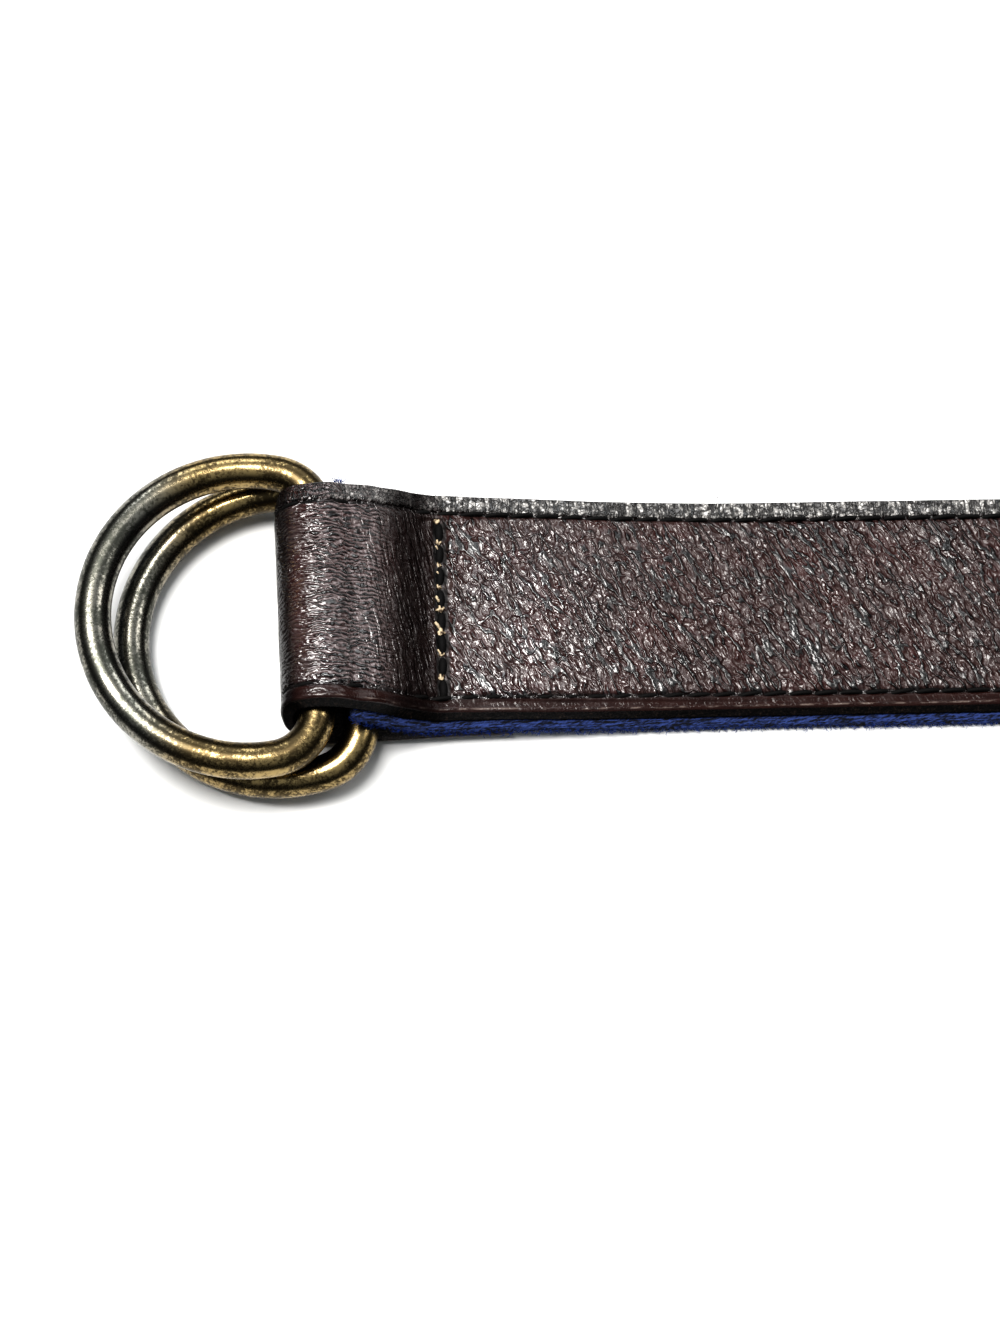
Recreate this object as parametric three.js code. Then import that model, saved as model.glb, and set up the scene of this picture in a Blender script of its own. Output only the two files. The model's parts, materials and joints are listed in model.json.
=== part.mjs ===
// The ring end of a leather belt: a strap folded round two D-shaped rings of brass wire.
// Millimetres, +Z up. The strap runs along +X, the rings lie to the left, at -X.
// The origin is under the cross row of stitches, on the flat underside of the returned leather.

import * as THREE from 'three';

// Strap
const strapWidth = 32.2;
const leatherThickness = 1.7;
const webbingThickness = 1.4;
const webbingOverhang = 0.7;
const doubledOverhang = 0.4;
const layerGap = 0.3;
const webbingStandoff = 1.7;

// Lengths along the strap, measured from the cross row of stitches
const loopLength = 23.4;
const returnLength = 10;
const strapLength = 95;
const settleLength = 46;
const tipCornerRadius = 7;

// Rings
const wireDiameter = 5.2;
const ringEyeOverStrap = 6.4;
const ringBarOffset = 9.7;
const ringCornerRadius = 7;
const ringGap = 0.3;

// How the rings lie in the loop
const foldRoom = 1.5;
const topRoom = 1.3;
const underBarGap = 0.4;
const barSpacing = 4.2;
const upperBarShift = -2.1;
const lowerBarShift = -2.0;
const upperRingLift = THREE.MathUtils.degToRad(3.4);
const upperRingYaw = 0;
const lowerRingYaw = THREE.MathUtils.degToRad(6.5);

// How the loop lies: its far side is higher and reaches further out than its near side
const loopSlant = 0.001;
const foldSkew = 0.04;
const loopDrift = -0.8;

// Shape of the fold: its widest place as a share of its height, how square it is, and how far
// behind the upper bar the returned part starts to turn up
const foldWaist = 0.52;
const foldRoundness = 0.66;
const foldSetBack = 0.6;

// Shape of the slopes beside the cross row: shares of the loop's length and of the settling
// length where each slope bends, and how much the bend stands above or below the row
const crestShare = 0.62;
const rowApproachShare = 0.36;
const rowApproachRise = 0.9;
const rowLeaveShare = 0.3;
const rowLeaveDrop = 0.35;
const settleShare = 0.55;

// Mesh fineness
const ringSteps = 72;
const wireSides = 12;
const leatherSteps = 96;
const webbingSteps = 72;
const webbingSampling = 4;
const stripsAcross = 3;

const wireRadius = wireDiameter / 2;
const ringArcRadius = (strapWidth + ringEyeOverStrap) / 2 + wireRadius;

// Heights and places that follow from the layers and the wire
const layerStep = leatherThickness / 2 + layerGap + webbingThickness / 2;
const lowerBar = {
  x: -loopLength + leatherThickness + foldRoom + wireRadius + barSpacing,
  y: lowerBarShift,
  z: leatherThickness + underBarGap + wireRadius,
};
const upperBar = { x: lowerBar.x - barSpacing, y: upperBarShift, z: lowerBar.z };
const lowerRingLift = -Math.asin((lowerBar.z - wireRadius) / (ringBarOffset + ringArcRadius));

// The centreline of a ring: a straight bar along Y through the origin, two rounded corners
// and a wide arc that reaches out to -X.
class RingCurve extends THREE.Curve {
  constructor() {
    super();
    const inner = ringArcRadius - ringCornerRadius;
    this.barHalf = Math.sqrt(inner ** 2 - (ringBarOffset - ringCornerRadius) ** 2);
    this.turn = Math.atan2(this.barHalf, ringBarOffset - ringCornerRadius);
    this.lengths = [
      this.barHalf,
      ringCornerRadius * this.turn,
      ringArcRadius * (2 * Math.PI - 2 * this.turn),
      ringCornerRadius * this.turn,
      this.barHalf,
    ];
    this.total = this.lengths.reduce((sum, length) => sum + length, 0);
  }

  getPoint(share, target = new THREE.Vector3()) {
    let rest = (share - Math.floor(share)) * this.total;
    let part = 0;
    while (part < this.lengths.length - 1 && rest > this.lengths[part]) {
      rest -= this.lengths[part];
      part += 1;
    }
    if (part === 0) return target.set(0, rest, 0);
    if (part === 1) return this.corner(rest / ringCornerRadius, 1, target);
    if (part === 2) {
      const angle = this.turn + rest / ringArcRadius;
      return target.set(
        -ringBarOffset + ringArcRadius * Math.cos(angle),
        ringArcRadius * Math.sin(angle),
        0,
      );
    }
    if (part === 3) return this.corner(this.turn - rest / ringCornerRadius, -1, target);
    return target.set(0, -this.barHalf + rest, 0);
  }

  corner(angle, side, target) {
    return target.set(
      -ringCornerRadius + ringCornerRadius * Math.cos(angle),
      side * (this.barHalf + ringCornerRadius * Math.sin(angle)),
      0,
    );
  }
}

const ringCurve = new RingCurve();

function placement(bar, lift, yaw) {
  const turn = new THREE.Euler(0, lift, yaw, 'ZYX');
  const place = new THREE.Vector3(bar.x, bar.y, bar.z);
  return { turn, place };
}

function placedCentreline({ turn, place }, steps) {
  return ringCurve.getSpacedPoints(steps).map((point) => point.applyEuler(turn).add(place));
}

function leastDistance(lineA, lineB) {
  let least = Infinity;
  for (const a of lineA) {
    for (const b of lineB) least = Math.min(least, a.distanceTo(b));
  }
  return least;
}

// The upper ring lies on the lower one: its bar is raised until the two wires are clear.
function raiseUpperRing() {
  const steps = 240;
  const riseStep = 0.05;
  const lower = placedCentreline(placement(lowerBar, lowerRingLift, lowerRingYaw), steps);
  const upper = placedCentreline(placement(upperBar, upperRingLift, upperRingYaw), steps);
  while (leastDistance(lower, upper) < wireDiameter + ringGap) {
    upper.forEach((point) => { point.z += riseStep; });
    upperBar.z += riseStep;
  }
}

raiseUpperRing();

// The middle of the leather, in X and Z, from the end of the returned part, round the fold
// and along the top to the strap's end.
const underMiddle = leatherThickness / 2;
const loopMiddle = upperBar.z + wireRadius + topRoom + leatherThickness / 2;
const rowMiddle = leatherThickness + 2 * layerGap + webbingThickness / 2 + layerStep;
const flatMiddle = webbingThickness / 2 + layerStep;
const foldOut = -loopLength + leatherThickness / 2;
const foldBottom = upperBar.x - foldSetBack;

function flat(x, z) {
  return new THREE.Vector3(x, 0, z);
}

function bend(...points) {
  return new THREE.CubicBezierCurve3(...points.map(([x, z]) => flat(x, z)));
}

function leatherPath() {
  const waist = underMiddle + (loopMiddle - underMiddle) * foldWaist;
  const under = foldBottom + (foldOut - foldBottom) * foldRoundness;
  const over = upperBar.x + (foldOut - upperBar.x) * foldRoundness;
  const down = waist + (underMiddle - waist) * foldRoundness;
  const up = waist + (loopMiddle - waist) * foldRoundness;
  const path = new THREE.CurvePath();
  path.add(new THREE.LineCurve3(flat(returnLength, underMiddle), flat(foldBottom, underMiddle)));
  path.add(bend([foldBottom, underMiddle], [under, underMiddle], [foldOut, down], [foldOut, waist]));
  path.add(bend([foldOut, waist], [foldOut, up], [over, loopMiddle], [upperBar.x, loopMiddle]));
  path.add(bend(
    [upperBar.x, loopMiddle],
    [upperBar.x * crestShare, loopMiddle],
    [upperBar.x * rowApproachShare, rowMiddle + rowApproachRise],
    [0, rowMiddle],
  ));
  path.add(bend(
    [0, rowMiddle],
    [settleLength * rowLeaveShare, rowMiddle - rowLeaveDrop],
    [settleLength * settleShare, flatMiddle],
    [settleLength, flatMiddle],
  ));
  path.add(new THREE.LineCurve3(flat(settleLength, flatMiddle), flat(strapLength, flatMiddle)));
  return path;
}

// Stations along a path, each with its middle point and its normal in the XZ plane. The normal
// points to the grain side of the leather, the outside of the fold.
function stationsAlong(path, steps) {
  return path.getSpacedPoints(steps).map((point, index, points) => {
    const before = points[Math.max(index - 1, 0)];
    const after = points[Math.min(index + 1, points.length - 1)];
    const along = after.clone().sub(before).normalize();
    return { x: point.x, z: point.z, nx: -along.z, nz: along.x };
  });
}

// How much of the loop's slant, skew and drift a place along the strap takes part in.
function loopShare(x) {
  return THREE.MathUtils.smoothstep(-x, -returnLength, -upperBar.x);
}

// Half the width at a place along the strap, with the rounded corners of its far end.
function halfWidthAt(x, overhang) {
  const settled = THREE.MathUtils.smoothstep(x, returnLength, settleLength);
  const half = strapWidth / 2 + overhang + doubledOverhang * (1 - settled);
  const intoTip = x - (strapLength - tipCornerRadius);
  if (intoTip <= 0) return half;
  const inset = tipCornerRadius - Math.sqrt(Math.max(tipCornerRadius ** 2 - intoTip ** 2, 0));
  return half - inset;
}

// A closed strip: a grid of points on each face, joined along its edges and ends.
function strip(stations, thickness, overhang) {
  const across = stripsAcross;
  const positions = [];
  const faces = [];
  const perStation = 2 * (across + 1);
  for (const { x, z, nx, nz } of stations) {
    const share = loopShare(x);
    const half = halfWidthAt(x, overhang);
    for (const side of [1, -1]) {
      for (let step = 0; step <= across; step += 1) {
        const y = half * (2 * step / across - 1) + loopDrift * share;
        const px = x + side * nx * thickness / 2;
        const pz = z + side * nz * thickness / 2;
        positions.push(px - foldSkew * y * share, y, pz * (1 + loopSlant * y * share));
      }
    }
  }
  const quad = (a, b, c, d) => faces.push(a, b, c, a, c, d);
  const outer = (station, step) => station * perStation + step;
  const inner = (station, step) => station * perStation + across + 1 + step;
  const last = stations.length - 1;
  for (let s = 0; s < last; s += 1) {
    for (let k = 0; k < across; k += 1) {
      quad(outer(s, k), outer(s + 1, k), outer(s + 1, k + 1), outer(s, k + 1));
      quad(inner(s, k), inner(s, k + 1), inner(s + 1, k + 1), inner(s + 1, k));
    }
    quad(inner(s, 0), inner(s + 1, 0), outer(s + 1, 0), outer(s, 0));
    quad(outer(s, across), outer(s + 1, across), inner(s + 1, across), inner(s, across));
  }
  for (let k = 0; k < across; k += 1) {
    quad(inner(0, k), outer(0, k), outer(0, k + 1), inner(0, k + 1));
    quad(outer(last, k), inner(last, k), inner(last, k + 1), outer(last, k + 1));
  }
  const geometry = new THREE.BufferGeometry();
  geometry.setAttribute('position', new THREE.Float32BufferAttribute(positions, 3));
  geometry.setIndex(faces);
  geometry.computeVertexNormals();
  return geometry;
}

function leatherStrap() {
  const stations = stationsAlong(leatherPath(), leatherSteps);
  const material = new THREE.MeshStandardMaterial({ color: 0x46302c, roughness: 0.45 });
  const mesh = new THREE.Mesh(strip(stations, leatherThickness, 0), material);
  mesh.name = 'leather_strap';
  return mesh;
}

// The webbing lies under the top leather and stops just short of the upper ring's bar.
function webbingBacking() {
  const start = upperBar.x + wireRadius + webbingStandoff;
  const leather = stationsAlong(leatherPath(), webbingSteps * webbingSampling);
  const top = leather.filter(({ x, z }) => z > leatherThickness && x > start);
  const every = Math.ceil(top.length / webbingSteps);
  const kept = top.filter((_, index) => index % every === 0 || index === top.length - 1);
  const stations = kept.map(({ x, z, nx, nz }) => (
    { x: x - nx * layerStep, z: z - nz * layerStep, nx, nz }
  ));
  const material = new THREE.MeshStandardMaterial({ color: 0x1c2c78, roughness: 0.95 });
  const mesh = new THREE.Mesh(strip(stations, webbingThickness, webbingOverhang), material);
  mesh.name = 'webbing_backing';
  return mesh;
}

function ring(name, bar, lift, yaw) {
  const geometry = new THREE.TubeGeometry(ringCurve, ringSteps, wireRadius, wireSides, true);
  const material = new THREE.MeshStandardMaterial({ color: 0x9a7b45, roughness: 0.3, metalness: 1 });
  const mesh = new THREE.Mesh(geometry, material);
  const { turn, place } = placement(bar, lift, yaw);
  mesh.rotation.copy(turn);
  mesh.position.copy(place);
  mesh.name = name;
  return mesh;
}

const belt = new THREE.Group();
belt.add(leatherStrap());
belt.add(webbingBacking());
belt.add(ring('upper_ring', upperBar, upperRingLift, upperRingYaw));
belt.add(ring('lower_ring', lowerBar, lowerRingLift, lowerRingYaw));

export default belt;
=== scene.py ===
# %% [markdown]
# This scene dresses the ring end of a leather belt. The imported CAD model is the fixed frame: it
# gives every place and size, and the detailed pieces made here stand for its plain solids.
# Blender works in metres. The strap is laid out in millimetres first, because every size of a belt
# is a few millimetres, and it is scaled once, when a mesh is made.

# %% Load the frame
import json
import math

import bpy
import numpy as np
from mathutils import Matrix, Vector


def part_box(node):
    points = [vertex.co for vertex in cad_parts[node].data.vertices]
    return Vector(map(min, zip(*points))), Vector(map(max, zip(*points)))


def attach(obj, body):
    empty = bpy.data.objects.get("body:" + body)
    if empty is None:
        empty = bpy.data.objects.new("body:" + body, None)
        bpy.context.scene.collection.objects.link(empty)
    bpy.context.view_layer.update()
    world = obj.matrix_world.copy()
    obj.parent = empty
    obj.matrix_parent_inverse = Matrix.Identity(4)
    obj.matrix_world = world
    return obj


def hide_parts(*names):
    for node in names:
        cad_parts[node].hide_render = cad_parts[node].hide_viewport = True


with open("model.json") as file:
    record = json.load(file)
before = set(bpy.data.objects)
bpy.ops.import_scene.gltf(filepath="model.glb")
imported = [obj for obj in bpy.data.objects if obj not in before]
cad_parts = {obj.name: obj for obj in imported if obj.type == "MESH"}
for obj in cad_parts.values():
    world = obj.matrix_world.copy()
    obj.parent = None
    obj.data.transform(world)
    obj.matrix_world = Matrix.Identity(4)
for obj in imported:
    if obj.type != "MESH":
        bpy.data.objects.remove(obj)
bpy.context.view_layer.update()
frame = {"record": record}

MM = 0.001
joints = {joint["name"]: joint for joint in frame["record"]["behaviour"]["joints"]}

# %% [markdown]
# The camera stands where the photograph was taken from: almost above the belt, a little to its
# near side, with the frame turned a few degrees so that the strap runs slightly downhill. Its
# place could be found by eye, but a lens, a distance and three angles say it exactly.

# %% Camera
camera_elevation = math.radians(71.09)
camera_azimuth = math.radians(4.34)
camera_roll = math.radians(3.09)
camera_distance = 336.0
camera_right_of_row = 8.96
camera_below_row = 6.03
camera_lens = 61.96


def camera_axes():
    """Right, up and ahead of the unrolled camera, as the photograph was taken."""
    sin_e, cos_e = math.sin(camera_elevation), math.cos(camera_elevation)
    sin_a, cos_a = math.sin(camera_azimuth), math.cos(camera_azimuth)
    right = Vector((cos_a, -sin_a, 0))
    up = Vector((sin_e * sin_a, sin_e * cos_a, cos_e))
    ahead = Vector((cos_e * sin_a, cos_e * cos_a, -sin_e))
    return right, up, ahead


def put(name, data):
    """A new object in the scene, which shows a mesh, a lamp or a camera."""
    obj = bpy.data.objects.new(name, data)
    bpy.context.scene.collection.objects.link(obj)
    return obj


def add_camera():
    """The scene's camera, held by its three axes and its place."""
    right, up, ahead = camera_axes()
    place = right * camera_right_of_row - up * camera_below_row - ahead * camera_distance
    across = right * math.cos(camera_roll) + up * math.sin(camera_roll)
    upward = up * math.cos(camera_roll) - right * math.sin(camera_roll)
    data = bpy.data.cameras.new("camera")
    data.lens = camera_lens
    data.clip_start = 0.01
    camera = put("camera", data)
    turn = Matrix((across, upward, -ahead)).transposed()
    camera.matrix_world = Matrix.Translation(place * MM) @ turn.to_4x4()
    bpy.context.scene.camera = camera
    return camera


camera = add_camera()
print("camera height in mm:", round(camera.matrix_world.translation.z / MM, 1))

# %% [markdown]
# The belt lies on a white table under a broad lamp, up and to the left. Brass shows what
# surrounds it, so the surroundings matter as much as the lamp: bright overhead, darker at the
# horizon, a pale window beyond the far edge, which gives that edge its silver gloss, and a soft
# light on the right, which draws the ripples on the loop where it slopes down to the stitches.
# The leather's colour adds painted light as well: a painted sheen on the far edge, painted
# highlights and shade on the loop's ripples, and painted shade in its creases, grooves and slots.

# %% Floor, lamps and surroundings
bpy.context.scene.view_settings.view_transform = "Standard"
bpy.context.scene.view_settings.look = "High Contrast"


def fill(tree, node, inputs):
    """Fills or links a node's inputs, by name or number."""
    for key, value in inputs.items():
        if isinstance(value, bpy.types.NodeSocket):
            tree.links.new(value, node.inputs[key])
        else:
            node.inputs[key].default_value = value


def add(tree, kind, inputs=None, **options):
    """Adds a node, sets its options and fills its inputs."""
    node = tree.nodes.new(kind)
    for option, value in options.items():
        setattr(node, option, value)
    fill(tree, node, inputs or {})
    return node


def new_material(name):
    """A material with its node tree and its shader."""
    material = bpy.data.materials.new(name)
    material.use_nodes = True
    tree = material.node_tree
    return material, tree, tree.nodes["Principled BSDF"]


def add_area_lamp(name, direction, distance, size, power, colour):
    """A rectangular lamp that looks at the belt from a direction."""
    data = bpy.data.lights.new(name, "AREA")
    data.shape = "RECTANGLE"
    data.size, data.size_y = size
    data.energy = power
    data.color = colour
    lamp = put(name, data)
    towards = Vector(direction).normalized()
    turn = towards.to_track_quat("Z", "Y").to_matrix().to_4x4()
    lamp.matrix_world = Matrix.Translation(towards * distance) @ turn
    return lamp


def add_surroundings():
    """A sky that is bright overhead and dark at the horizon."""
    world = bpy.data.worlds.new("surroundings")
    world.use_nodes = True
    tree = world.node_tree
    tree.nodes.clear()
    direction = add(tree, "ShaderNodeTexCoord").outputs["Generated"]
    height = add(tree, "ShaderNodeSeparateXYZ", {0: direction}).outputs["Z"]
    share = add(tree, "ShaderNodeMapRange", {"Value": height, "From Min": 0.4, "From Max": 0.95},
                interpolation_type="SMOOTHSTEP").outputs["Result"]
    tint = add(tree, "ShaderNodeMix", {0: share, 6: (0.06, 0.065, 0.075, 1), 7: (0.92, 0.97, 1.0, 1)},
               data_type="RGBA").outputs[2]
    sky = add(tree, "ShaderNodeBackground", {"Color": tint, "Strength": 0.45})
    add(tree, "ShaderNodeOutputWorld", {"Surface": sky.outputs[0]})
    bpy.context.scene.world = world


table_half, table_gap, table_white = 1.5, 0.15, 0.74


def add_floor():
    """A white table top just under the belt."""
    corners = [(x * table_half, y * table_half, -table_gap * MM)
               for x, y in ((-1, -1), (1, -1), (1, 1), (-1, 1))]
    mesh = bpy.data.meshes.new("table_top")
    mesh.from_pydata(corners, [], [(0, 1, 2, 3)])
    material, tree, shader = new_material("white table top")
    fill(tree, shader, {"Base Color": (table_white, table_white, table_white, 1), "Roughness": 0.6})
    mesh.materials.append(material)
    put("table_top", mesh)


add_surroundings()
add_floor()
lamps = [
    add_area_lamp("ceiling_lamp", (-0.27, 0.11, 0.96), 1.3, (0.46, 0.7), 19, (1.0, 0.985, 0.96)),
    add_area_lamp("far_window", (0.1, 0.76, 0.64), 1.5, (1.8, 0.5), 8, (0.95, 0.98, 1.0)),
    add_area_lamp("right_light", (0.7, 0.26, 0.66), 1.4, (0.5, 0.5), 2.5, (1.0, 0.99, 0.98)),
]
print("lamps:", [lamp.name for lamp in lamps])

# %% [markdown]
# Everything on the belt follows one line: the middle of the leather, seen from the side. It
# starts at the end of the returned part, turns up round the rings' bars, runs over the top and
# down to the cross row of stitches, and goes on flat. A curve object could hold it, but four
# bends in plain arithmetic can also say how far along the leather any point is, which places
# the stitches and steers the grain.

# %% The strap's line
strap_width, leather_thickness, webbing_thickness = 32.2, 1.7, 1.4
webbing_overhang, doubled_overhang, layer_gap, webbing_standoff = 0.7, 0.4, 0.3, 1.7
loop_length, return_length, strap_length, settle_length = 23.4, 10.0, 95.0, 46.0
tip_corner_radius = 7.0
wire_radius, top_room = 2.6, 1.3
loop_slant, fold_skew, loop_drift = 0.001, 0.04, -0.8
fold_waist, fold_roundness, fold_set_back = 0.52, 0.66, 0.6
crest_share, row_approach_share, row_approach_rise = 0.62, 0.36, 0.9
row_leave_share, row_leave_drop, settle_share = 0.3, 0.35, 0.55

upper_bar = Vector(joints["upper_ring_swing"]["pos_m"]) / MM
layer_step = leather_thickness / 2 + layer_gap + webbing_thickness / 2


def bend(start, pull_start, pull_end, end, steps=80):
    """Points on a cubic bend between two places in the XZ plane."""
    share = np.linspace(0, 1, steps)[:, None]
    a, b, c, d = (np.array(corner, float) for corner in (start, pull_start, pull_end, end))
    rest = 1 - share
    return rest ** 3 * a + 3 * rest ** 2 * share * b + 3 * rest * share ** 2 * c + share ** 3 * d


def leather_line():
    """The middle of the leather in X and Z, from the returned end to the tip, and the row's height."""
    bar_x = upper_bar.x
    under = leather_thickness / 2
    crest = upper_bar.z + wire_radius + top_room + leather_thickness / 2
    row = leather_thickness + 2 * layer_gap + webbing_thickness / 2 + layer_step
    flat = webbing_thickness / 2 + layer_step
    out = -loop_length + leather_thickness / 2
    turn = bar_x - fold_set_back
    waist = under + (crest - under) * fold_waist
    low_x = turn + (out - turn) * fold_roundness
    high_x = bar_x + (out - bar_x) * fold_roundness
    low_z = waist + (under - waist) * fold_roundness
    high_z = waist + (crest - waist) * fold_roundness
    return np.concatenate([
        [(return_length, under)],
        bend((turn, under), (low_x, under), (out, low_z), (out, waist)),
        bend((out, waist), (out, high_z), (high_x, crest), (bar_x, crest))[1:],
        bend((bar_x, crest), (bar_x * crest_share, crest),
             (bar_x * row_approach_share, row + row_approach_rise), (0, row))[1:],
        bend((0, row), (settle_length * row_leave_share, row - row_leave_drop),
             (settle_length * settle_share, flat), (settle_length, flat))[1:],
        [(strap_length, flat)],
    ]), row


def run_along(points):
    """How far along a line each of its points is."""
    steps = np.linalg.norm(np.diff(points, axis=0), axis=1)
    return np.concatenate([[0], np.cumsum(steps)])


line, row_height = leather_line()
line_run = run_along(line)
line_slope = np.gradient(line, line_run, axis=0)
row_run = float(line_run[np.argmin(np.hypot(line[:, 0], line[:, 1] - row_height))])
returned_run = -row_run
tip_run = float(line_run[-1] - row_run)
print("leather length in mm:", round(float(line_run[-1]), 1), "of it before the row:", round(row_run, 1))

# %% [markdown]
# A point on the strap is named by how far it is along the leather from the cross row, how far it
# is across, and how far it stands off the leather's middle. This one function turns such a
# point into space, and it also leans the loop a little, as the CAD solid does. Leather, webbing
# and stitches all use it, so they can't drift apart.

# %% A place on the strap


def smoothstep(value, low, high):
    """0 below low, 1 above high, and a soft ramp between."""
    share = np.clip((np.asarray(value, float) - low) / (high - low), 0, 1)
    return share * share * (3 - 2 * share)


def bell(value, width):
    """A soft hump of height 1 at 0."""
    return np.exp(-(np.asarray(value, float) / width) ** 2)


def half_width(x, overhang):
    """Half the strap's width, with the rounded corners of its tip."""
    doubled = doubled_overhang * (1 - smoothstep(x, return_length, settle_length))
    into_tip = np.clip(x - (strap_length - tip_corner_radius), 0, tip_corner_radius)
    inset = tip_corner_radius - np.sqrt(tip_corner_radius ** 2 - into_tip ** 2)
    return strap_width / 2 + overhang + doubled - inset


def middle_at(along):
    """The line's X, Z and normal at a place along the leather, from the cross row."""
    run = np.asarray(along, float) + row_run
    x, z = (np.interp(run, line_run, line[:, axis]) for axis in (0, 1))
    dx, dz = (np.interp(run, line_run, line_slope[:, axis]) for axis in (0, 1))
    size = np.hypot(dx, dz)
    return x, z, -dz / size, dx / size


def strap_point(along, across, off):
    """Space coordinates in mm of a point along, across and off the leather's middle."""
    x, z, nx, nz = middle_at(along)
    share = smoothstep(-x, -return_length, -upper_bar.x)
    y = across + loop_drift * share
    px = x + nx * off - fold_skew * y * share
    pz = (z + nz * off) * (1 + loop_slant * y * share)
    return np.stack(np.broadcast_arrays(px, y, pz), axis=-1)


print("loop crest in mm:", np.round(strap_point(upper_bar.x, 0, leather_thickness / 2), 1))

# %% [markdown]
# The strap is a closed tube with a very flat section: the grain side, one cut edge, the flesh
# side and the other cut edge. A box with a bevel would look machined. Here each section takes
# its height from a relief: sunk stitch lines, a far edge that droops, soft rolls over the two
# bars and puffed leather beside the cross row. Two attributes go with the mesh, so that the
# leather's finish knows where it is.

# %% Make a closed strip
stitch_inset, stitch_groove_width, stitch_groove_depth = 3.0, 0.42, 0.34
cross_row_reach = strap_width / 2 - stitch_inset + 0.3
cross_pitch, wave_count = 3.45, 7
far_droop_depth, near_ridge_height, near_ridge_inset, near_ridge_width = 0.5, 0.1, 1.25, 0.16
slot_depth, valley_depth, puff_height, crown_drop, swell_height = 0.7, 0.4, 0.3, 0.4, 0.55
# The leather's reach beyond the CAD solid's far edge, by places along it, in mm.
far_edge_places = [-21.0, -14.0, -7.0, -2.0, 8.0, 22.0]
far_edge_reach = [0.0, 0.6, 1.4, 1.55, 1.15, 0.85]
# Height, place along the leather and width of each soft roll on the loop, in mm.
loop_rolls = [(0.34, -18.6, 2.5), (0.45, -12.0, 2.4), (-0.2, -15.7, 1.3), (0.35, -7.0, 3.0)]


def make_object(name, points, faces):
    """A smooth mesh object from points in mm."""
    mesh = bpy.data.meshes.new(name)
    mesh.from_pydata([tuple(point) for point in np.asarray(points) * MM], [], faces)
    mesh.validate()
    mesh.shade_smooth()
    return put(name, mesh)


def store_points(obj, name, values):
    """Keeps three numbers for each vertex as an attribute."""
    attribute = obj.data.attributes.new(name, "FLOAT_VECTOR", "POINT")
    attribute.data.foreach_set("vector", np.asarray(values, np.float32).ravel())


def tube_faces(rings, around):
    """Faces of a closed tube of sections, with a cap on each end."""
    faces = []
    for ring in range(rings - 1):
        for step in range(around):
            a, b = ring * around + step, ring * around + (step + 1) % around
            faces.append((a, b, b + around, a + around))
    faces.append(tuple(reversed(range(around))))
    faces.append(tuple(range((rings - 1) * around, rings * around)))
    return faces


def waves(along, across, seed, length):
    """A soft seeded unevenness between about -1 and 1, with a given wave length."""
    rng = np.random.default_rng(seed)
    total = np.zeros(np.broadcast(along, across).shape)
    for _ in range(wave_count):
        heading, phase = rng.uniform(0, 2 * math.pi, 2)
        pitch = length * rng.uniform(0.6, 1.6)
        turn = (np.cos(heading) * along + np.sin(heading) * across) * 2 * math.pi / pitch
        total += np.sin(turn + phase)
    return total / math.sqrt(2 * wave_count)


def cross_pits(across):
    """1 in the middle of each stitch of the cross row, lower at the holes between them."""
    return 0.75 - 0.25 * np.cos(2 * math.pi * across / cross_pitch)


def far_widening(along):
    """How much the leather stands out beyond the CAD solid at its far edge, over the webbing."""
    spread = np.interp(along, far_edge_places, far_edge_reach)
    return spread * smoothstep(tip_run - np.asarray(along, float), 0.0, 4.0)


def near_widening(along):
    """How much the fold and the returned leather stand out at the near edge."""
    return 1.7 * smoothstep(-np.asarray(along, float), 24.0, 42.0)


def grain_relief(along, across, far_half, near_half):
    """How far the grain side stands above or below its even height."""
    inset = np.minimum(far_half - across, near_half + across)
    groove = -stitch_groove_depth * bell(inset - stitch_inset, stitch_groove_width)
    far_droop = -far_droop_depth * (1 - smoothstep(inset, -0.4, stitch_inset)) * (across > 0)
    near_ridge = near_ridge_height * bell(inset - near_ridge_inset, near_ridge_width) * (across < 0)
    within = smoothstep(cross_row_reach + 0.9 - np.abs(across), 0, 0.7)
    slot = (1 - smoothstep(np.abs(along), 0.6, 1.1)) * cross_pits(across)
    row = -slot_depth * slot * within
    valley = -valley_depth * bell(along + 1.4, 2.4) * within
    puff = puff_height * bell(along - 1.9, 1.1) * within
    crown = -crown_drop * (across / 14.0) ** 2 * smoothstep(along, 0.0, 6.0)
    swell = swell_height * smoothstep(along, 0.0, 9.0) * (1 - smoothstep(along, 9.0, 60.0)) * within
    rolls = sum(height * bell(along - middle, width) for height, middle, width in loop_rolls)
    uneven = 0.05 * waves(along, across, 5, 9.0) + 0.025 * waves(along, across, 8, 3.2)
    return groove + far_droop + near_ridge + row + valley + puff + crown + swell + rolls + uneven


print("relief at the cross row in mm:", np.round(grain_relief(0.0, 1.7, 16.1, 16.1), 2))

# %% [markdown]
# The cut edge isn't upright. The knife leaned outwards, so from above the dark edge of the leather
# shows as a band of its own beside the grain. The few points of this profile are shares of the
# leather's thickness, from the grain corner down to the flesh corner.

# %% Leather strap
near_profile = [(0.62, 0.0), (0.54, 0.02), (0.48, 0.08), (0.43, 0.2), (0.34, 0.42), (0.22, 0.66),
                (0.08, 0.86), (0.0, 0.93), (0.05, 0.985), (0.16, 1.0)]
far_profile = [(0.16, 0.0), (0.08, 0.03), (0.03, 0.1), (0.0, 0.22), (0.0, 0.4), (0.01, 0.6),
               (0.02, 0.78), (0.04, 0.9), (0.08, 0.97), (0.16, 1.0)]
grain_columns, flesh_columns, leather_step = 104, 18, 0.42
edge_crowding, flesh_inset = 0.72, 0.27


def edge_run(profile):
    """The inset and depth in mm of the points of a cut edge, without its two corners."""
    inset, depth = (np.array(values) * leather_thickness for values in zip(*profile[1:-1]))
    return inset, depth


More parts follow.
